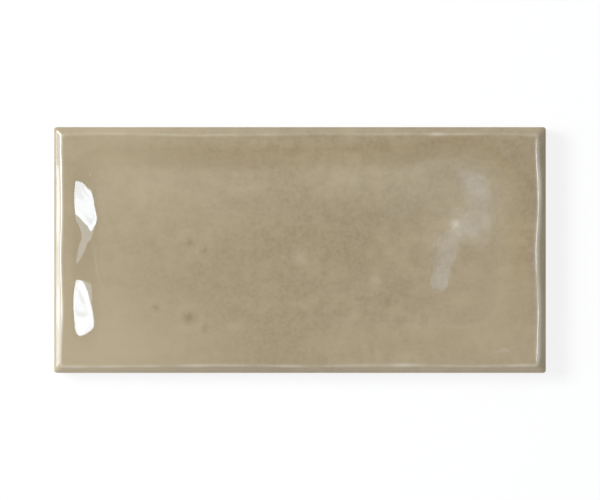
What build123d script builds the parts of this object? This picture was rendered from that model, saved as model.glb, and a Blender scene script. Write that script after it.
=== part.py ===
from build123d import *

import os
from math import atan2, cos, degrees, hypot, pi, sin

# Glazed ceramic wall tile with a pressed, hand-made look, fired as one piece.
# It lies on its keyed back with the glazed face up. The origin is the middle of the back, on the plane
# of its ribs. +X runs along the tile, +Y across it and +Z out of the glazed face.

# Overall size, in millimetres
tile_length = 150.0
tile_width = 75.0
tile_thickness = 8.5  # from the back ribs to the highest stretch of the rim

# Edge of the tile, from the back up to the crest
side_draft = 2.0  # degrees, lets the pressed tile out of its die
foot_radius = 0.4  # soft turn from the back into the side wall
bevel_width = 2.4  # in plan, from the side wall to the crest
bevel_drop = 1.7  # from the crest down to the side wall
arris_radius = 0.6  # soft turn from the side wall into the bevel
crest_radius = 1.8  # soft turn from the bevel into the face
corner_radius = 0.8  # upright corners of the side wall
mitre_radius = 3.0  # where two bevels meet at a corner

# Glazed face: a raised rim round a shallow dish
rim_width = 2.0  # from the crest to where the rim starts to fall
dish_slope_width = 10.5  # from the rim to the level panel
slope_start = 0.2  # share of the slope where it turns down from the rim
slope_end = 0.35  # share of the slope where it levels out to the panel
dish_depth = 1.0  # from the highest rim down to the panel
dish_corner_left = 15.0  # round corners of the dish, as wide as they would be out at the side wall
dish_corner_right = 24.0
panel_wave_height = 0.02  # slow unevenness of the panel, up and down from its level
panel_wave_length = 75.0
panel_wave_lean = 0.5  # sideways run of the waves for each step along the tile
rim_wave_depth = 0.32  # how far the rim sinks between its highest stretches
rim_wave_along = 92.0  # from one high stretch to the next, along the tile
rim_wave_across = 32.6  # and across it
rim_peak_x = -70.0  # place of one high stretch, on the left rim
rim_peak_y = 14.6

# Back: shallow cells between ribs, the key for the adhesive
key_depth = 0.8
key_border = 6.0  # plain band between the outline and the outer cells
rib_width = 2.6
cells_along = 9
cells_across = 4
cell_radius = 1.5
cell_draft = 30.0  # degrees

# Worked out from the sizes above
arris_height = tile_thickness - bevel_drop
bevel_lean = degrees(atan2(bevel_width, bevel_drop))  # from upright
blank_rise = 2 * bevel_drop  # the bevel is made this tall, and the face then cuts it at the crest
rim_inset = bevel_width + rim_width
panel_inset = rim_inset + dish_slope_width
cell_length = (tile_length - 2 * key_border + rib_width) / cells_along - rib_width
cell_width = (tile_width - 2 * key_border + rib_width) / cells_across - rib_width
face_overrun = 2 * bevel_width  # how far the shaping surface runs past the outline
slope_lean = 2 / (2 - slope_start - slope_end)  # of the slope's straight stretch, beside an even slope
widest_corner = max(dish_corner_left, dish_corner_right)
points_for_wave = 5  # how closely the face follows its waves


def dish_inset(x, y):
    """Distance in from the side wall, round the corners as the dish runs there."""
    from_end = tile_length / 2 - abs(x)
    from_side = tile_width / 2 - abs(y)
    corner = dish_corner_left if x < 0 else dish_corner_right
    if max(from_end, from_side) >= corner:
        return min(from_end, from_side)
    return corner - hypot(corner - from_end, corner - from_side)


def dip(inset):
    """Share of the dish's depth that is reached at a distance in from the side wall."""
    share = min(1.0, max(0.0, (inset - rim_inset) / dish_slope_width))
    if share < slope_start:
        return slope_lean * share ** 2 / (2 * slope_start)
    if share > 1 - slope_end:
        return 1 - slope_lean * (1 - share) ** 2 / (2 * slope_end)
    return slope_lean * (share - slope_start / 2)


def panel_height(x, y):
    """Height of the panel, with its slow waves."""
    turn = 2 * pi / panel_wave_length
    wave = sin(turn * (x + panel_wave_lean * y)) * cos(turn * (y - panel_wave_lean * x))
    return tile_thickness - dish_depth + panel_wave_height * wave


def rim_height(x, y):
    """Height of the rim, which sinks and rises along the edges."""
    wave_along = cos(2 * pi * (x - rim_peak_x) / rim_wave_along)
    wave_across = cos(2 * pi * (y - rim_peak_y) / rim_wave_across)
    return tile_thickness - rim_wave_depth * (1 - wave_along * wave_across) / 2


def face_height(x, y):
    """Height of the glazed face, from its rim down to its panel."""
    dish = dip(dish_inset(x, y))
    return rim_height(x, y) + dish * (panel_height(x, y) - rim_height(x, y))


def stations(size, wave_length):
    """Places along one direction where the face is given its height, from edge to edge."""
    slope_places = [rim_inset + share * dish_slope_width for share in (slope_start, 0.5, 1 - slope_end)]
    corner_places = [(panel_inset + widest_corner) / 2, widest_corner]
    insets = [-face_overrun, bevel_width, rim_inset, *slope_places, panel_inset, *corner_places]
    near_edge = [inset - size / 2 for inset in insets]
    panel_size = size - 2 * widest_corner
    steps = max(1, round(panel_size * points_for_wave / wave_length))
    panel = [panel_size * (i / steps - 0.5) for i in range(1, steps)]
    far_edge = [-place for place in reversed(near_edge)]
    return near_edge + panel + far_edge


along = stations(tile_length, min(panel_wave_length, rim_wave_along))
across = stations(tile_width, min(panel_wave_length, rim_wave_across))
glazed_face = Face.make_surface_from_array_of_points(
    [[(x, y, face_height(x, y)) for y in across] for x in along],
    min_deg=3,
)

with BuildPart() as wall_tile:
    # Side walls, drafted so that the back is a little smaller than the face
    with BuildSketch():
        Rectangle(tile_length, tile_width)
    extrude(amount=arris_height)
    walls = wall_tile.faces().filter_by(Axis.Z, reverse=True)
    draft(walls, Plane.XY.offset(arris_height), -side_draft)

    # Bevels, mitred at the corners
    with BuildSketch(Plane.XY.offset(arris_height)):
        Rectangle(tile_length, tile_width)
    extrude(amount=blank_rise, taper=bevel_lean)
    corners = wall_tile.edges().group_by(Axis.Z)[1]
    fillet(corners, corner_radius)
    mitres = wall_tile.edges().group_by(Axis.Z)[-2]
    fillet(mitres, mitre_radius)
    arris = wall_tile.edges().filter_by(GeomType.LINE).group_by(Axis.Z)[2]
    fillet(arris, arris_radius)

    # Glazed face, which meets the bevels along the crest
    split(bisect_by=glazed_face, keep=Keep.BOTTOM)
    crest = wall_tile.faces().filter_by(GeomType.BSPLINE).sort_by(SortBy.AREA)[-1].edges()
    fillet(crest, crest_radius)
    foot = wall_tile.faces().sort_by(Axis.Z)[0].edges()
    fillet(foot, foot_radius)

    # Keyed back
    with BuildSketch():
        with GridLocations(cell_length + rib_width, cell_width + rib_width, cells_along, cells_across):
            RectangleRounded(cell_length, cell_width, cell_radius)
    extrude(amount=key_depth, taper=cell_draft, mode=Mode.SUBTRACT)

wall_tile.part.label = "wall_tile"
os.makedirs("parts", exist_ok=True)
export_step(wall_tile.part, "parts/wall_tile.step")
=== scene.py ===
import math

import bmesh
import bpy
from mathutils import Matrix, Vector, noise


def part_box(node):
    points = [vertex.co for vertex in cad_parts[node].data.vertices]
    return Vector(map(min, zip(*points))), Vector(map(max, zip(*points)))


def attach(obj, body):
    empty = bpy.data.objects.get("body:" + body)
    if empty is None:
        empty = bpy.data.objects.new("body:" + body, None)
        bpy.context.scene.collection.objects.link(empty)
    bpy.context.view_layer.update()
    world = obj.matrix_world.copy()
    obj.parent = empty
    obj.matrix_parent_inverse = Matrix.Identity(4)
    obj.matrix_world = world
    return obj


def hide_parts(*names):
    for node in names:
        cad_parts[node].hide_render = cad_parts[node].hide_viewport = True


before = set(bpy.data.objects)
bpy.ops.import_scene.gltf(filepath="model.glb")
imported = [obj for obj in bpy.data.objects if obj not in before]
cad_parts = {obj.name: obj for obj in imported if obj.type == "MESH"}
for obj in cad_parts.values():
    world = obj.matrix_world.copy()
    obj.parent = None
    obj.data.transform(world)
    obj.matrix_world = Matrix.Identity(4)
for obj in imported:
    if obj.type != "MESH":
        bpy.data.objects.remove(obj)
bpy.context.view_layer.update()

mm = 0.001
tileLow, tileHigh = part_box("wall_tile")
print("frame loaded, tile", [round(v / mm, 2) for v in tileHigh - tileLow], "mm")


# Small helpers for shapes

def clamp(value):
    return min(1.0, max(0.0, value))


def ease(value):
    share = clamp(value)
    return share * share * (3.0 - 2.0 * share)


def fade(value, span):  # 0 up to the start of a span and 1 past its width
    start, width = span
    return ease((value - start) / width)


def softMin(a, b, blend):  # the lower of two heights, rounded where they cross
    near = max(blend - abs(a - b), 0.0)
    return min(a, b) - near * near / (4.0 * blend)


def softRamp(value, firstSoft, lastSoft):  # 0 to 1 in a straight line, with soft ends
    share = clamp(value)
    lean = 2.0 / (2.0 - firstSoft - lastSoft)
    if share < firstSoft:
        return lean * share * share / (2.0 * firstSoft)
    if share > 1.0 - lastSoft:
        return 1.0 - lean * (1.0 - share) ** 2 / (2.0 * lastSoft)
    return lean * (share - firstSoft / 2.0)


def bell(distance, width):
    return math.exp(-(distance / width) ** 2)


def wander(x, y, size, seed):  # smooth noise, about -1 to 1, with features of this size
    return noise.noise(Vector((x / size, y / size, seed)))


# Glazed face, edges and sides

tile = {
    "halfLength": (tileHigh.x - tileLow.x) / 2,
    "halfWidth": (tileHigh.y - tileLow.y) / 2,
    "thickness": tileHigh.z - tileLow.z,
    "columns": 380,
    "rows": 180,
    "edgeCrowding": 0.42,  # draws the grid's lines towards the edges
    "bevelWidth": 2.4 * mm,
    "bevelDrop": 1.7 * mm,
    "bevelLean": 0.20,  # how much steeper or flatter the bevel gets along the edge
    "bevelLeanSize": 23.0 * mm,
    "bevelWander": 0.10 * mm,
    "bevelWanderSize": 14.0 * mm,
    "mitreBlend": 1.3 * mm,
    "crestBlend": 0.42 * mm,
    "arrisRound": 0.5 * mm,
    "arrisDrop": 0.2 * mm,
    "cornerRadius": 0.8 * mm,
    "rimWidth": 2.0 * mm,
    "slopeWidth": 10.5 * mm,
    "slopeSoft": (0.2, 0.35),  # shares of the slope that its soft ends take up
    "slopeRipple": 0.020 * mm,
    "slopeRippleSize": 9.0 * mm,
    "slopeRippleFrom": (-68.0 * mm, 20.0 * mm),  # a start and a width, along the tile
    "slopeWander": 0.5 * mm,
    "slopeWanderSize": 17.0 * mm,
    "slopeWanderFrom": (4.0 * mm, 20.0 * mm),  # a start and a width, in from the left end
    "dishCorner": (15.0 * mm, 24.0 * mm),  # left and right corners of the dish, as wide as out at the side
    "openPlace": (47.0, 28.0, 13.0),  # place and radius in millimetres: here the slope lies nearer the edge
    "openShift": 4.0 * mm,
    "dullStart": (-3.5 * mm, 2.5 * mm),  # a start and a width, past the foot of the slope
    "dullEnd": (-0.3 * mm, 1.3 * mm),
    "dullFrom": (-40.0 * mm, 10.0 * mm),  # along the tile
    "dishDepth": 1.0 * mm,
    "rimSink": 0.32 * mm,  # how far the rim falls between its highest stretches
    "rimWaveX": 92.0 * mm,
    "rimWaveY": 32.6 * mm,
    "rimPeak": (-70.0 * mm, 14.6 * mm),
    "panelWave": 0.02 * mm,  # slow unevenness of the panel, up and down from its level
    "panelWaveLength": 75.0 * mm,
    "panelWaveLean": 0.5,
    "ripple": 0.0015 * mm,
    "rippleSize": 8.0 * mm,
    "topSoft": 0.02 * mm,  # how softly the relief is held below the thickness
    "sideDraft": math.radians(2.0),
    "glazeLine": 3.3 * mm,  # the glaze ends about here on the sides
    "glazeLineWander": 0.9 * mm,
    "glazeLineSize": 11.0 * mm,
    "glazeLineRough": 0.25 * mm,
    "glazeLineRoughSize": 3.0 * mm,
    "glazeLip": 0.14 * mm,
}
pits = [  # place on the face, radius and depth, in millimetres
    (-33.8, 2.3, 1.60, 0.018),
    (-33.6, -20.6, 1.75, 0.031),
    (-29.0, -0.3, 1.10, 0.020),
    (-28.8, -23.8, 1.20, 0.014),
    (-43.8, -17.4, 1.10, 0.020),
    (26.7, -15.8, 1.40, 0.009),
    (8.7, 10.4, 1.10, 0.006),
]
bumps = [  # place on the face, radius and height, in millimetres, and how thin the glaze is on it
    (0.2, -2.5, 2.0, 0.016, 0.17),
    (23.0, -9.4, 1.5, 0.012, 0.13),
    (-0.3, -7.8, 1.2, 0.006, 0.07),
    # this bump's pale glaze is a painted highlight, a glint where two reflections meet
    (47.2, 8.0, 1.5, 0.005, 0.50),
]
paintedGlints = [  # painted highlights on the crest: place and radius, in millimetres, and how much pale glaze colour is painted on there as a glint
    (41.7, 34.9, 2.4, 0.55),
    (72.4, 22.0, 12.0, 0.30),
]
swells = [  # place on the left slope, radius and height, in millimetres; hollows have a negative height
    (-68.8, 21.9, 4.0, -0.054),
    (-62.3, 18.7, 2.6, 0.035),
    (-65.7, 17.7, 2.5, -0.024),
    (-65.5, 9.4, 4.6, 0.113),
    (-60.3, 9.7, 2.5, -0.059),
    (-65.5, -2.8, 2.8, -0.030),
    (-64.4, 0.5, 2.7, -0.028),
    (-67.2, -5.6, 2.6, -0.020),
    (-62.6, -10.2, 2.5, 0.029),
    (-65.5, -16.5, 2.6, -0.056),
    (-65.7, -13.3, 2.6, -0.028),
    (-60.9, -22.1, 2.5, -0.041),
    (-69.7, -24.6, 4.1, 0.036),
    (-62.8, -26.1, 2.6, -0.026),
]
spotForm = {  # distances are in radii of the spot
    "pitReach": 3.5,
    "bumpReach": 3.0,
    "fineGrid": 1.9,  # the grid is finer this near to a spot
    "hollowWidth": 0.75,
    "lip": (1.35, 0.45, 0.22),  # place, width and share of the raised lip round a pit
    "darkWidth": 0.9,
    "halo": (2.0, 0.7, 0.30),  # place, width and share of the paler ring round a pit
    "darkDepth": 0.024 * mm,  # a pit of this depth has the glaze's deep colour
}
coat = {  # how the glaze lies, with painted light, shade, highlights and a reflection laid on its colour; a pair of lengths is where a change starts and the width that it takes
    "top": (20.0 * mm, 10.0 * mm),
    "bottom": (18.0 * mm, 10.0 * mm),
    "rightEnd": (68.0 * mm, 3.0 * mm),
    "rightCorners": (-34.5 * mm, 2.0 * mm),
    "crestWidth": 0.35 * mm,
    # painted highlight: along the right end the pale crest line is painted wider and paler
    "crestHighlightWiderRight": 0.20 * mm,
    "crestThin": 0.40,
    "crestHighlightRight": 0.30,
    "crestPatch": 0.4,
    "crestPatchSize": 9.0 * mm,
    "crestTopLoss": 0.35,
    "bevelThin": 0.12,
    "bevelEnd": (-0.3 * mm, 0.5 * mm),
    # painted reflection: a soft pale band laid along the top of the panel in the thin glaze's colour,
    # stronger to the right
    "topReflection": 0.06,
    "topReflectionFrom": (2.0 * mm, 18.0 * mm),
    "topReflectionRight": 0.03,
    "topRight": (0.0, 20.0 * mm),
    # paler towards the left end: partly the glaze's own tone, partly painted light from the lamps on the left
    "leftPaleAndLit": 0.85,
    "leftFrom": (2.0 * mm, 60.0 * mm),
    "rightPale": 0.45,
    "rightFrom": (35.0 * mm, 35.0 * mm),
    "rightPalerBelow": 0.35,
    "rightBelow": (-18.0 * mm, 14.0 * mm),
    "lowerPale": 0.40,
    "lowerSides": (20.0 * mm, 45.0 * mm),
    "lowerFrom": (2.0 * mm, 14.0 * mm),
    # painted light: the bottom side, where the slope faces the key lamp, is painted paler
    "bottomPaintedLight": 0.40,
    "pool": 0.8,
    # painted shade on the top slope and painted light on the bottom slope, as more and less pooled glaze
    "topSlopeShade": 0.8,
    "bottomSlopeLight": 0.4,
}


def crowded(share, half):  # from an even grid to one that is closer at its edges
    return half * (share + tile["edgeCrowding"] * math.sin(math.pi * share) / math.pi)


def roundCorner(x, y):  # pulls the square corners of the grid onto the round ones of the outline
    radius = tile["cornerRadius"]
    overX = abs(x) - (tile["halfLength"] - radius)
    overY = abs(y) - (tile["halfWidth"] - radius)
    if overX <= 0.0 or overY <= 0.0:
        return x, y
    pull = 1.0 - max(overX, overY) / math.hypot(overX, overY)
    return x - math.copysign(overX * pull, x), y - math.copysign(overY * pull, y)


def dishInset(x, y):  # distance in from the sides, round the corners as the dish runs there
    fromEnd = tile["halfLength"] - abs(x)
    fromSide = tile["halfWidth"] - abs(y)
    radius = tile["dishCorner"][x > 0.0]
    if max(fromEnd, fromSide) >= radius:
        return min(fromEnd, fromSide)
    return radius - math.hypot(radius - fromEnd, radius - fromSide)


def slopePlace(x, y):  # 0 where the rim ends, 1 where the panel begins
    shift = tile["slopeWander"] * wander(x, y, tile["slopeWanderSize"], seed=7.4)
    shift *= fade(x + tile["halfLength"], tile["slopeWanderFrom"])  # the left slope keeps its own relief
    shift -= tile["openShift"] * bell(spotShare(x, y, tile["openPlace"]), 1.0)
    start = tile["bevelWidth"] + tile["rimWidth"] + shift
    return (dishInset(x, y) - start) / tile["slopeWidth"]


def dishShare(x, y):  # 0 on the rim, 1 on the panel
    return softRamp(slopePlace(x, y), *tile["slopeSoft"])


def dullShare(x, y):  # where the glaze is less smooth, along the foot of the slope
    past = (slopePlace(x, y) - 1.0) * tile["slopeWidth"]
    band = fade(past, tile["dullStart"]) * (1.0 - fade(past, tile["dullEnd"]))
    return band * fade(x, tile["dullFrom"])


def rimHeight(x, y):
    peakX, peakY = tile["rimPeak"]
    waveX = math.cos(2 * math.pi * (x - peakX) / tile["rimWaveX"])
    waveY = math.cos(2 * math.pi * (y - peakY) / tile["rimWaveY"])
    return tile["thickness"] - tile["rimSink"] * (1.0 - waveX * waveY) / 2


def panelHeight(x, y):
    turn = 2 * math.pi / tile["panelWaveLength"]
    waveX = math.sin(turn * (x + tile["panelWaveLean"] * y))
    waveY = math.cos(turn * (y - tile["panelWaveLean"] * x))
    return tile["thickness"] - tile["dishDepth"] + tile["panelWave"] * waveX * waveY


def faceHeight(x, y):
    rim = rimHeight(x, y)
    return rim + dishShare(x, y) * (panelHeight(x, y) - rim)


def bevelHeight(x, y, inset):
    lean = 1.0 + tile["bevelLean"] * wander(x, y, tile["bevelLeanSize"], seed=5.5)
    rise = lean * inset * tile["bevelDrop"] / tile["bevelWidth"]
    uneven = tile["bevelWander"] * wander(x, y, tile["bevelWanderSize"], seed=9.7)
    return tile["thickness"] - tile["bevelDrop"] + rise + uneven


def spotShare(x, y, spot):  # distance from the middle of a spot, in its radii
    return math.hypot(x - spot[0] * mm, y - spot[1] * mm) / (spot[2] * mm)


def spotRelief(x, y):  # height from the spots and swells, how much deeper the glaze is in pits, and how thin the glaze is on bumps, with one bump's paleness a painted highlight
    relief = 0.0
    toneShift = 0.0
    thinnerAndHighlight = 0.0
    lipPlace, lipWidth, lipShare = spotForm["lip"]
    haloPlace, haloWidth, haloShare = spotForm["halo"]
    for pit in pits:
        away = spotShare(x, y, pit)
        depth = pit[3] * mm
        if away < spotForm["pitReach"]:
            dark = bell(away, spotForm["darkWidth"]) - haloShare * bell(away - haloPlace, haloWidth)
            toneShift += depth / spotForm["darkDepth"] * dark
            lip = lipShare * bell(away - lipPlace, lipWidth)
            relief += depth * (lip - bell(away, spotForm["hollowWidth"]))
    for swell in swells:
        relief += swell[3] * mm * bell(spotShare(x, y, swell), 1.0)
    for bump in bumps:
        away = spotShare(x, y, bump)
        if away < spotForm["bumpReach"]:
            thinnerAndHighlight += bump[4] * bell(away, 1.0)
            relief += bump[3] * mm * bell(away, 1.0)
    return relief, toneShift, thinnerAndHighlight


def thinAndHighlightShare(x, y, overFace, share, spotThinAndHighlight):  # how thin the glaze is on the crest, bevels, bumps and panel, with painted highlights on the crest and one bump, and a painted reflection along the top of the panel
    # painted highlight: the crest near the right end and at the glints is painted paler, in the thin glaze's
    # colour
    nearRight = fade(x, coat["rightEnd"]) * fade(-abs(y), coat["rightCorners"])
    onCrest = bell(overFace, coat["crestWidth"] + coat["crestHighlightWiderRight"] * nearRight)
    patch = coat["crestPatch"] * wander(x, y, coat["crestPatchSize"], seed=3.1)
    crest = onCrest * (coat["crestThin"] + coat["crestHighlightRight"] * nearRight + patch)
    crest *= 1.0 - coat["crestTopLoss"] * fade(y, coat["top"])
    crest += onCrest * sum(glint[3] * bell(spotShare(x, y, glint), 1.0) for glint in paintedGlints)
    onBevel = 1.0 - fade(overFace, coat["bevelEnd"])
    # painted reflection along the top of the panel
    topReflection = coat["topReflection"] + coat["topReflectionRight"] * fade(x, coat["topRight"])
    onPanel = share * (spotThinAndHighlight + topReflection * fade(y, coat["topReflectionFrom"]))
    return max(crest, coat["bevelThin"] * onBevel) + onPanel


def toneShare(x, y, share, spotDeep):  # above 0 where the glaze is darker and below 0 where it is paler: darker in pits; paler towards the left end, partly the glaze's tone and partly painted light; paler on the right of the panel and towards the lower ends; and paler along the bottom as painted light
    rightPale = coat["rightPale"] + coat["rightPalerBelow"] * fade(-y, coat["rightBelow"])
    deep = spotDeep - coat["leftPaleAndLit"] * fade(-x, coat["leftFrom"])
    deep -= rightPale * share * fade(x, coat["rightFrom"])
    deep -= coat["lowerPale"] * fade(abs(x), coat["lowerSides"]) * fade(-y, coat["lowerFrom"])
    return deep - coat["bottomPaintedLight"] * fade(-y, coat["bottom"])


def poolAndShadeShare(y, onSlope):  # how thick the glaze has run together on the slope, with more on the top slope as painted shade and less on the bottom slope as painted light
    uneven = coat["topSlopeShade"] * fade(y, coat["top"]) - coat["bottomSlopeLight"] * fade(-y, coat["bottom"])
    return onSlope * (coat["pool"] + uneven)


def shapePoint(x, y):  # height of the glazed side, and how thin, pooled and deep the glaze is there, with painted highlights, a painted reflection and painted light and shade among these shares
    inset = softMin(tile["halfLength"] - abs(x), tile["halfWidth"] - abs(y), tile["mitreBlend"])
    bevel = bevelHeight(x, y, inset)
    face = faceHeight(x, y)
    onFace = ease((bevel - face) / tile["crestBlend"])
    share = dishShare(x, y)
    onSlope = 4.0 * share * (1.0 - share)  # 1 halfway down
    relief, spotDeep, spotThinAndHighlight = spotRelief(x, y)
    ripple = tile["ripple"] * wander(x, y, tile["rippleSize"], seed=1.3)
    slopeRipple = tile["slopeRipple"] * wander(x, y, tile["slopeRippleSize"], seed=8.1)
    height = softMin(bevel, face, tile["crestBlend"])
    height -= tile["arrisDrop"] * (1.0 - ease(inset / tile["arrisRound"]))
    height += onFace * (ripple + relief)
    height += onSlope * slopeRipple * fade(x, tile["slopeRippleFrom"])
    height = softMin(height, tile["thickness"], tile["topSoft"])
    thinAndHighlight = thinAndHighlightShare(x, y, bevel - face, share, spotThinAndHighlight)
    return height, clamp(thinAndHighlight), clamp(poolAndShadeShare(y, onSlope)), toneShare(x, y, share, spotDeep)


def outward(x, y):  # which way the side faces at this point of the outline
    radius = tile["cornerRadius"]
    overX = max(abs(x) - (tile["halfLength"] - radius), 0.0)
    overY = max(abs(y) - (tile["halfWidth"] - radius), 0.0)
    return Vector((math.copysign(overX, x), math.copysign(overY, y), 0.0)).normalized()


def lowerRing(bm, edges, lower):  # extrudes a ring of edges, and lets lower() place the new points
    made = bmesh.ops.extrude_edge_only(bm, edges=edges)["geom"]
    for vert in [g for g in made if isinstance(g, bmesh.types.BMVert)]:
        vert.co = lower(vert.co)
    ring = [g for g in made if isinstance(g, bmesh.types.BMEdge) and g.is_boundary]
    faces = [g for g in made if isinstance(g, bmesh.types.BMFace)]
    return ring, faces


def nearSpot(face):
    centre = face.calc_center_median()
    return any(spotShare(centre.x, centre.y, spot) < spotForm["fineGrid"] for spot in pits + bumps)


bm = bmesh.new()
# shares for each point: thin glaze with painted highlights and reflection, pooled glaze with painted shade,
# and glaze tone with painted light
thinAndHighlightLayer = bm.verts.layers.float.new("thinGlazeAndHighlight")
poolAndShadeLayer = bm.verts.layers.float.new("pooledGlazeAndShade")
toneLayer = bm.verts.layers.float.new("glazeToneAndLight")
dullLayer = bm.verts.layers.float.new("dullGlaze")
bmesh.ops.create_grid(bm, x_segments=tile["columns"], y_segments=tile["rows"], size=1.0)
for vert in bm.verts:
    x, y = roundCorner(crowded(vert.co.x, tile["halfLength"]), crowded(vert.co.y, tile["halfWidth"]))
    vert.co = (x, y, 0.0)
spotEdges = {edge for face in bm.faces if nearSpot(face) for edge in face.edges}
bmesh.ops.subdivide_edges(bm, edges=list(spotEdges), cuts=1, use_grid_fill=True)
for vert in bm.verts:
    height, vert[thinAndHighlightLayer], vert[poolAndShadeLayer], vert[toneLayer] = shapePoint(vert.co.x, vert.co.y)
    vert[dullLayer] = dullShare(vert.co.x, vert.co.y)
    vert.co.z = height
print("glazed face shaped,", len(bm.verts), "points")

arrisHeight = tile["thickness"] - tile["bevelDrop"] - tile["arrisDrop"]


def glazeEdge(co):  # height of the glaze's lower end, which wanders along the sides
    slow = tile["glazeLineWander"] * wander(co.x, co.y, tile["glazeLineSize"], seed=6.6)
    quick = tile["glazeLineRough"] * wander(co.x, co.y, tile["glazeLineRoughSize"], seed=2.2)
    return tile["glazeLine"] + slow + quick


def sideRing(heightAt, inAt):
    draft = math.tan(tile["sideDraft"])

    def lower(co):
        height = heightAt(co)
        inward = draft * (co.z - height) + inAt
        out = outward(co.x, co.y)
        return Vector((co.x, co.y, height)) - out * inward
    return lower


glazeIndex, clayIndex = 0, 1  # places in the mesh's list of materials
rings = [  # height of each ring on the side, how far it steps in from the one above, and its material
    (lambda co: arrisHeight - 0.35 * mm, 0.0, glazeIndex),
    (lambda co: arrisHeight - 1.4 * mm, 0.0, glazeIndex),
    (lambda co: glazeEdge(co) + 0.35 * mm, 0.0, glazeIndex),
    (lambda co: glazeEdge(co) + 0.10 * mm, 0.4 * tile["glazeLip"], glazeIndex),
    (lambda co: glazeEdge(co), 0.6 * tile["glazeLip"], glazeIndex),
    (lambda co: 1.5 * mm, 0.0, clayIndex),
    (lambda co: 0.4 * mm, 0.0, clayIndex),
    (lambda co: 0.1 * mm, 0.08 * mm, clayIndex),
    (lambda co: 0.0, 0.20 * mm, clayIndex),
]
sideEdges = [edge for edge in bm.edges if edge.is_boundary]
for heightAt, inAt, material in rings:
    sideEdges, sideFaces = lowerRing(bm, sideEdges, sideRing(heightAt, inAt))
    for face in sideFaces:
        face.material_index = material
print("sides lowered,", len(bm.faces), "faces")


# Keyed back

back = {
    "border": 6.0 * mm,
    "rib": 2.6 * mm,
    "cellsAlong": 9,
    "cellsAcross": 4,
    "cellRadius": 1.5 * mm,
    "cornerSteps": 5,
    "keyDepth": 0.8 * mm,
    "keyDraft": math.radians(30.0),
    "softEdge": 0.3 * mm,  # radius along the ribs and round the cells' floors
    "bareBelow": 1.0 * mm,  # faces whose middle is lower than this are bare clay
    "flatNormal": -0.99,  # faces that look further down than this are shaded flat
    "sharpAngle": math.radians(35.0),
}


def cellPlaces(half, cells):  # middles of the cells along one direction, and half a cell's size
    pitch = (2 * (half - back["border"]) + back["rib"]) / cells
    return [(i - (cells - 1) / 2) * pitch for i in range(cells)], (pitch - back["rib"]) / 2


def cellLevels():  # heights up into a cell, and how far in from its outline each ring lies
    soft = back["softEdge"]
    wall = math.pi / 2 - back["keyDraft"]  # the turn from the flat of a rib into the cell's wall
    start = soft * math.tan(wall / 2)
    turns = [wall / 2, wall]
    ribSide = [(soft * (1 - math.cos(turn)), soft * math.sin(turn) - start) for turn in turns]
    run = back["keyDepth"] * math.tan(back["keyDraft"])
    floorSide = [(back["keyDepth"] - height, run - inset) for height, inset in reversed(ribSide)]
    return -start, ribSide + floorSide + [(back["keyDepth"], run + start)]


def cornerOf(co, middle, half):  # where the nearest round corner of a cell has its centre
    overX = math.copysign(half[0] - back["cellRadius"], co.x - middle.x)
    overY = math.copysign(half[1] - back["cellRadius"], co.y - middle.y)
    return middle + Vector((overX, overY, 0.0))


def cellStep(middle, half, height, inset):
    def step(co):
        centre = cornerOf(co, middle, half)
        out = Vector((co.x - centre.x, co.y - centre.y, 0.0)).normalized()
        return centre + out * (back["cellRadius"] - inset) + Vector((0.0, 0.0, height))
    return step


def addCell(bm, middle, half):  # a circle is spread to a rounded outline, then drawn up into the back
    perCorner = back["cornerSteps"] + 1
    segments = 4 * perCorner
    firstInset, levels = cellLevels()
    circle = bmesh.ops.create_circle(bm, cap_ends=False, segments=segments, radius=1.0)["verts"]
    ring = list({edge for vert in circle for edge in vert.link_edges})
    for vert in circle:
        place = round(math.atan2(vert.co.y, vert.co.x) / (2 * math.pi) * segments) % segments
        quarter, step = divmod(place, perCorner)
        turn = (quarter + step / back["cornerSteps"]) * math.pi / 2
        diagonal = (quarter + 0.5) * math.pi / 2
        centre = cornerOf(middle + Vector((math.cos(diagonal), math.sin(diagonal), 0.0)), middle, half)
        vert.co = centre + Vector((math.cos(turn), math.sin(turn), 0.0)) * (back["cellRadius"] - firstInset)
    for height, inset in levels:
        ring = lowerRing(bm, ring, cellStep(middle, half, height, inset))[0]
    bmesh.ops.edgeloop_fill(bm, edges=ring)


cellsX, halfX = cellPlaces(tile["halfLength"], back["cellsAlong"])
cellsY, halfY = cellPlaces(tile["halfWidth"], back["cellsAcross"])
for x in cellsX:
    for y in cellsY:
        addCell(bm, Vector((x, y, 0.0)), (halfX, halfY))
openEdges = [edge for edge in bm.edges if edge.is_boundary]
bmesh.ops.triangle_fill(bm, edges=openEdges, use_beauty=True, use_dissolve=False, normal=(0.0, 0.0, -1.0))
print(len(cellsX) * len(cellsY), "key cells pressed into the back, with", len(openEdges), "edges to the ribs")

for face in bm.faces:
    if face.calc_center_median().z < back["bareBelow"]:
        face.material_index = clayIndex
bmesh.ops.recalc_face_normals(bm, faces=bm.faces)
for face in bm.faces:
    face.smooth = face.normal.z > back["flatNormal"]
for edge in bm.edges:
    edge.smooth = len(edge.link_faces) < 2 or edge.calc_face_angle(0.0) < back["sharpAngle"]
openCount = sum(1 for edge in bm.edges if not edge.is_manifold)
print("open edges left", openCount, "triangles", sum(len(face.verts) - 2 for face in bm.faces))

tileMesh = bpy.data.meshes.new("wallTile")
bm.to_mesh(tileMesh)
bm.free()
wallTile = bpy.data.objects.new("wallTile", tileMesh)
bpy.context.scene.collection.objects.link(wallTile)
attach(wallTile, "root")
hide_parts("wall_tile")


# Materials

def newMaterial(name):
    material = bpy.data.materials.new(name)
    material.use_nodes = True
    nodes = material.node_tree.nodes
    return material, material.node_tree, nodes["Principled BSDF"]


def addNode(tree, kind, inputs=None, **settings):
    node = tree.nodes.new(kind)
    for name, value in settings.items():
        setattr(node, name, value)
    for name, value in (inputs or {}).items():
        if isinstance(value, bpy.types.NodeSocket):
            tree.links.new(value, node.inputs[name])
        else:
            node.inputs[name].default_value = value
    return node


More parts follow.
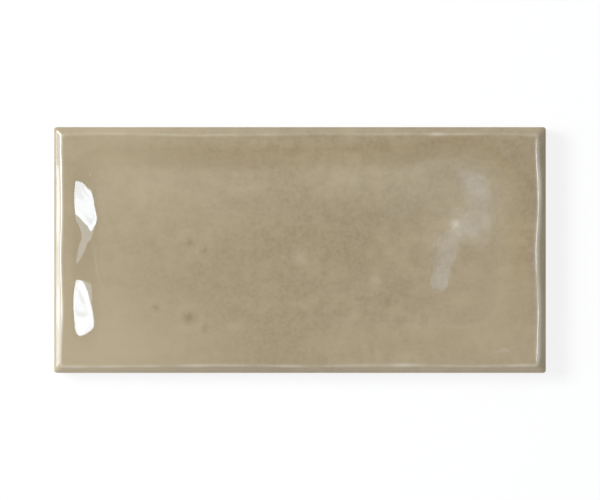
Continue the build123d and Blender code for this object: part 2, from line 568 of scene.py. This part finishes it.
def addNoise(tree, place, size, detail=2.0, roughness=0.5):
    inputs = {"Vector": place, "Scale": 1.0 / size, "Detail": detail, "Roughness": roughness}
    return addNode(tree, "ShaderNodeTexNoise", inputs).outputs["Fac"]


def ramp(tree, value, low, high, toLow, toHigh):
    inputs = {"Value": value, "From Min": low, "From Max": high, "To Min": toLow, "To Max": toHigh}
    node = addNode(tree, "ShaderNodeMapRange", inputs, interpolation_type="SMOOTHSTEP")
    return node.outputs["Result"]


def readLayer(tree, name):  # a value that the mesh holds for each of its points
    return addNode(tree, "ShaderNodeAttribute", attribute_name=name).outputs["Fac"]


def mixColour(tree, amount, first, second, blend="MIX"):
    node = addNode(tree, "ShaderNodeMix", data_type="RGBA", blend_type=blend)
    for socket, value in ((node.inputs[0], amount), (node.inputs[6], first), (node.inputs[7], second)):
        if isinstance(value, bpy.types.NodeSocket):
            tree.links.new(value, socket)
        else:
            socket.default_value = value
    return node.outputs[2]


def math2(tree, operation, first, second):
    node = addNode(tree, "ShaderNodeMath", {0: first, 1: second}, operation=operation)
    return node.outputs[0]


def clampTo(tree, value):  # keeps a value within 0 to 1
    return addNode(tree, "ShaderNodeClamp", {"Value": value}).outputs[0]


glaze = {
    "middle": (0.318, 0.251, 0.144, 1.0),
    "deep": (0.222, 0.168, 0.086, 1.0),
    "light": (0.392, 0.318, 0.196, 1.0),
    # pale colour of thin glaze, also used for the painted highlights and the painted reflection
    "thinAndHighlight": (0.620, 0.560, 0.450, 1.0),
    "cloudSize": 30 * mm,
    "cloudRange": (0.38, 0.68, 0.0, 0.7),  # stretch of the noise, and the shares that it turns into
    "streakSize": 9 * mm,
    "streakRange": (0.35, 0.70, 0.0, 0.35),
    "streakTurn": math.radians(14.0),  # the brushed streaks run a little askew
    "streakStretch": (0.35, 1.0, 1.0),
    "mottleSize": 4.2 * mm,
    "mottleRange": (0.32, 0.70, 0.0, 0.40),
    "speckSize": 1.3 * mm,
    "speckRange": (0.30, 0.70, 0.0, 0.30),
    "poolAndShadeDark": 0.14,
    "poolAndShadeTint": (0.985, 0.960, 0.880, 1.0),  # thick glaze is browner; on the top slope this is also painted shade
    "toneDark": 0.85,
    "tonePale": -0.55,
    "roughRange": (0.3, 0.7, 0.010, 0.022),
    "dullRoughness": 0.16,
    "ior": 1.52,
    "peelSize": 2.6 * mm,
    "peelHeight": 0.0012 * mm,
}


def makeGlaze():
    material, tree, shader = newMaterial("oliveGlaze")
    place = addNode(tree, "ShaderNodeTexCoord").outputs["Object"]
    thinAndHighlight = readLayer(tree, "thinGlazeAndHighlight")
    poolAndShade = readLayer(tree, "pooledGlazeAndShade")
    toneShift = readLayer(tree, "glazeToneAndLight")
    dull = readLayer(tree, "dullGlaze")
    turned = {"Vector": place, "Rotation": (0.0, 0.0, glaze["streakTurn"]), "Scale": glaze["streakStretch"]}
    brushed = addNode(tree, "ShaderNodeMapping", turned).outputs["Vector"]
    clouds = addNoise(tree, place, glaze["cloudSize"], detail=3.0)
    streaks = addNoise(tree, brushed, glaze["streakSize"], detail=3.0)
    mottle = addNoise(tree, place, glaze["mottleSize"], detail=3.0, roughness=0.6)
    specks = addNoise(tree, place, glaze["speckSize"])
    colour = mixColour(tree, ramp(tree, clouds, *glaze["cloudRange"]), glaze["middle"], glaze["light"])
    colour = mixColour(tree, ramp(tree, streaks, *glaze["streakRange"]), colour, glaze["deep"])
    colour = mixColour(tree, ramp(tree, mottle, *glaze["mottleRange"]), colour, glaze["deep"])
    colour = mixColour(tree, ramp(tree, specks, *glaze["speckRange"]), colour, glaze["light"])
    # pooled glaze is darker and browner; on the top slope this is also painted shade
    colour = mixColour(tree, math2(tree, "MULTIPLY", poolAndShade, glaze["poolAndShadeDark"]), colour, glaze["deep"])
    colour = mixColour(tree, poolAndShade, colour, glaze["poolAndShadeTint"], "MULTIPLY")
    # darker in pits; paler where the tone share is below 0, which holds painted light on the bottom and, in
    # part, at the left end
    darker = clampTo(tree, math2(tree, "MULTIPLY", toneShift, glaze["toneDark"]))
    paler = clampTo(tree, math2(tree, "MULTIPLY", toneShift, glaze["tonePale"]))
    colour = mixColour(tree, darker, colour, glaze["deep"])
    colour = mixColour(tree, paler, colour, glaze["light"])
    # thin glaze is paler; this also lays on the painted highlights and the painted reflection
    colour = mixColour(tree, thinAndHighlight, colour, glaze["thinAndHighlight"])
    tree.links.new(colour, shader.inputs["Base Color"])
    roughness = ramp(tree, mottle, *glaze["roughRange"])
    roughness = math2(tree, "ADD", roughness, math2(tree, "MULTIPLY", dull, glaze["dullRoughness"]))
    tree.links.new(roughness, shader.inputs["Roughness"])
    shader.inputs["IOR"].default_value = glaze["ior"]
    peel = addNoise(tree, place, glaze["peelSize"])
    bump = addNode(tree, "ShaderNodeBump", {"Height": peel, "Strength": 1.0, "Distance": glaze["peelHeight"]})
    tree.links.new(bump.outputs["Normal"], shader.inputs["Normal"])
    return material


biscuit = {
    "clay": (0.560, 0.465, 0.355, 1.0),
    "shade": (0.430, 0.345, 0.255, 1.0),
    "stainSize": 22 * mm,
    "stainRange": (0.4, 0.75, 0.0, 0.5),
    "grainSize": 0.6 * mm,
    "grainRange": (0.45, 0.75, 0.0, 0.5),
    "grainStrength": 0.6,
    "grainHeight": 0.05 * mm,
    "roughness": 0.85,
}


def makeBiscuit():
    material, tree, shader = newMaterial("biscuitClay")
    place = addNode(tree, "ShaderNodeTexCoord").outputs["Object"]
    stains = addNoise(tree, place, biscuit["stainSize"], detail=4.0)
    grain = addNoise(tree, place, biscuit["grainSize"], detail=4.0, roughness=0.65)
    colour = mixColour(tree, ramp(tree, stains, *biscuit["stainRange"]), biscuit["clay"], biscuit["shade"])
    colour = mixColour(tree, ramp(tree, grain, *biscuit["grainRange"]), colour, biscuit["shade"])
    tree.links.new(colour, shader.inputs["Base Color"])
    shader.inputs["Roughness"].default_value = biscuit["roughness"]
    relief = {"Height": grain, "Strength": biscuit["grainStrength"], "Distance": biscuit["grainHeight"]}
    bump = addNode(tree, "ShaderNodeBump", relief)
    tree.links.new(bump.outputs["Normal"], shader.inputs["Normal"])
    return material


tileMesh.materials.append(makeGlaze())
tileMesh.materials.append(makeBiscuit())
print("materials made")


# Floor, light and camera

studio = {
    "floorHalf": 3.0,
    "floorDrop": 0.02 * mm,  # keeps the floor clear of the back
    "floorColour": (0.95, 0.95, 0.95, 1.0),
    "floorRoughness": 0.9,
    "floorGloss": 0.1,
    "floorWhite": 0.80,  # share of plain white that the camera sees in the floor
    "worldGrey": 0.41,  # light of the room on the tile; what the glaze mirrors of it is white
    "lampHeight": 2.60,  # of the lamps that the glaze mirrors to the camera
    "lens": 400.0,
    "sensor": 36.0,
    "tileShare": 0.82,  # of the picture's width
}
plainWhite = (1.0, 1.0, 1.0)
veilWhite = (0.66, 0.76, 1.0)
streakWhite = (0.70, 0.80, 1.0)
axisWhite = (0.75, 0.85, 1.0)
acrossTile = (0.0, 1.0, 0.0)
tileMiddle = (0.0, 0.0, 0.0)
leftSlope = (-0.07, 0.0, 0.0)


def overhead(place, along, size, brightness, colour):  # a lamp high up, looking down at the tile
    return (*place, studio["lampHeight"]), tileMiddle, (*along, 0.0), size, brightness, colour


lamps = {  # place, target, direction of the length, length and width, brightness beside white, colour
    "keyBox": ((-1.00, 0.34, 0.92), tileMiddle, acrossTile, (0.80, 0.60), 14.0, plainWhite),
    "leftBoard": ((-0.75, 0.0, 0.50), leftSlope, acrossTile, (0.30, 0.56), 4.0, streakWhite),
    "axisBox": overhead((0.553, 0.073), (0.991, -0.134), (0.285, 0.427), 14.40, axisWhite),
    "axisGlow": overhead((0.474, -0.136), (-0.19, 0.982), (0.475, 0.195), 3.86, axisWhite),
    "axisSide": overhead((0.639, 0.073), (0.968, -0.249), (0.308, 0.145), 3.10, axisWhite),
    "leftStrip": ((-0.90, 0.0, 0.26), leftSlope, acrossTile, (0.30, 0.12), 7.8, streakWhite),
    "veilHaze": overhead((0.0914, 0.0436), (0.775, 0.632), (0.0817, 0.0120), 0.26, veilWhite),
    "veilTop": overhead((0.1181, 0.0460), (0.825, -0.565), (0.0250, 0.0069), 1.42, veilWhite),
    "veilCrown": overhead((0.1159, 0.0412), (0.953, 0.302), (0.0134, 0.0182), 1.07, veilWhite),
    "veilSide": overhead((0.1271, 0.0303), (0.994, 0.11), (0.0124, 0.0180), 0.73, veilWhite),
    "veilLow": overhead((0.1184, 0.0219), (0.991, -0.135), (0.0250, 0.0292), 0.84, veilWhite),
    "veilInner": overhead((0.1106, 0.0255), (-0.663, -0.749), (0.0157, 0.0234), 1.26, veilWhite),
    "streakLong": overhead((0.0985, 0.0053), (0.945, -0.328), (0.0135, 0.0451), 1.90, veilWhite),
    "streakEnd": overhead((0.0907, -0.0227), (0.938, -0.346), (0.0067, 0.0198), 2.72, veilWhite),
}


def seenWhite(tree):  # 1 for what the camera sees, directly, through something or in a gloss
    path = addNode(tree, "ShaderNodeLightPath")
    clear = math2(tree, "MAXIMUM", path.outputs["Is Camera Ray"], path.outputs["Is Transmission Ray"])
    return math2(tree, "MAXIMUM", clear, path.outputs["Is Glossy Ray"])


def makeFloor():
    bm = bmesh.new()
    bmesh.ops.create_grid(bm, x_segments=1, y_segments=1, size=studio["floorHalf"])
    bmesh.ops.translate(bm, verts=bm.verts, vec=(0.0, 0.0, -studio["floorDrop"]))
    mesh = bpy.data.meshes.new("paleFloor")
    bm.to_mesh(mesh)
    bm.free()
    floor = bpy.data.objects.new("paleFloor", mesh)
    bpy.context.scene.collection.objects.link(floor)
    material, tree, shader = newMaterial("paleFloor")
    shader.inputs["Base Color"].default_value = studio["floorColour"]
    shader.inputs["Roughness"].default_value = studio["floorRoughness"]
    shader.inputs["Specular IOR Level"].default_value = studio["floorGloss"]
    white = addNode(tree, "ShaderNodeEmission", {"Strength": 1.0}).outputs[0]
    share = math2(tree, "MULTIPLY", seenWhite(tree), studio["floorWhite"])
    mix = addNode(tree, "ShaderNodeMixShader", {0: share, 1: shader.outputs[0], 2: white})
    tree.links.new(mix.outputs[0], tree.nodes["Material Output"].inputs["Surface"])
    mesh.materials.append(material)


def makeLamp(name, place, target, along, size, brightness, colour):
    light = bpy.data.lights.new(name, "AREA")
    light.shape = "ELLIPSE"
    light.size, light.size_y = size
    area = math.pi * size[0] * size[1] / 4
    light.energy = brightness * math.pi * area
    light.color = colour
    lamp = bpy.data.objects.new(name, light)
    lamp.location = place
    behind = (Vector(place) - Vector(target)).normalized()
    across = behind.cross(Vector(along)).normalized()
    turned = Matrix((across.cross(behind), across, behind)).transposed()
    lamp.rotation_euler = turned.to_euler()
    lamp.visible_camera = False
    bpy.context.scene.collection.objects.link(lamp)


def makeWorld():
    world = bpy.data.worlds.new("studioWorld")
    world.use_nodes = True
    tree = world.node_tree
    background = tree.nodes["Background"]
    limits = {"Value": seenWhite(tree), "To Min": studio["worldGrey"], "To Max": 1.0}
    strength = addNode(tree, "ShaderNodeMapRange", limits)
    tree.links.new(strength.outputs["Result"], background.inputs["Strength"])
    background.inputs["Color"].default_value = (1.0, 1.0, 1.0, 1.0)
    bpy.context.scene.world = world


def makeCamera():
    camera = bpy.data.cameras.new("camera")
    camera.lens = studio["lens"]
    camera.sensor_width = studio["sensor"]
    seenWidth = 2 * tile["halfLength"] / studio["tileShare"]
    distance = seenWidth * camera.lens / camera.sensor_width
    holder = bpy.data.objects.new("camera", camera)
    holder.location = (0.0, 0.0, tile["thickness"] + distance)
    bpy.context.scene.collection.objects.link(holder)
    bpy.context.scene.camera = holder
    print("camera", round(distance, 3), "m above the tile")


makeFloor()
for name, settings in lamps.items():
    makeLamp(name, *settings)
makeWorld()
makeCamera()
bpy.context.scene.view_settings.view_transform = "Standard"
